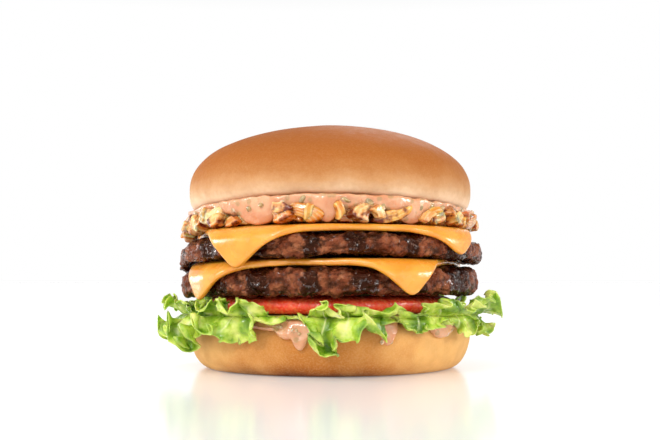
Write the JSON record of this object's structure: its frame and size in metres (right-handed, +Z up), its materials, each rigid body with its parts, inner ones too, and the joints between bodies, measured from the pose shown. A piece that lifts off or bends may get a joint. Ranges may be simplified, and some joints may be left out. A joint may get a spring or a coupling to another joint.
{
  "type": "double cheeseburger",
  "caption": "Double cheeseburger in a plain bun: beef patties under melted cheese slices, grilled onions, creamy dressing, tomato and ruffled lettuce.",
  "frame": {"origin": "centre of the bottom bun's flat underside", "axes": "+Z up through the layers, -Y towards the front, where each slice of cheese shows two hanging corners, +X to the right seen from the front"},
  "size_m": [0.1244, 0.124, 0.0854],
  "materials": {
    "bun": "baked golden-brown crust, soft satin, pale towards the cut edge",
    "dressing": "creamy pink-orange dressing with relish bits, glossy",
    "lettuce": "fresh green leaf, waxy, paler along ribs and edges",
    "tomato": "wet red flesh and skin",
    "patty": "grilled ground beef, coarse and greasy, with dark char bands",
    "cheese": "melted cheese slice, smooth, soft shine",
    "onion": "grilled onion, translucent amber with browned edges"
  },
  "bodies": {
    "root": {"heel": "bun", "spread": "dressing", "lettuce_1": "lettuce", "lettuce_2": "lettuce", "lettuce_3": "lettuce", "lettuce_4": "lettuce", "lettuce_5": "lettuce", "tomato": "tomato", "lower_patty": "patty", "lower_cheese": "cheese", "upper_patty": "patty", "upper_cheese": "cheese", "onions": "onion", "dressing": "dressing", "crown": "bun"}
  },
  "joints": []
}
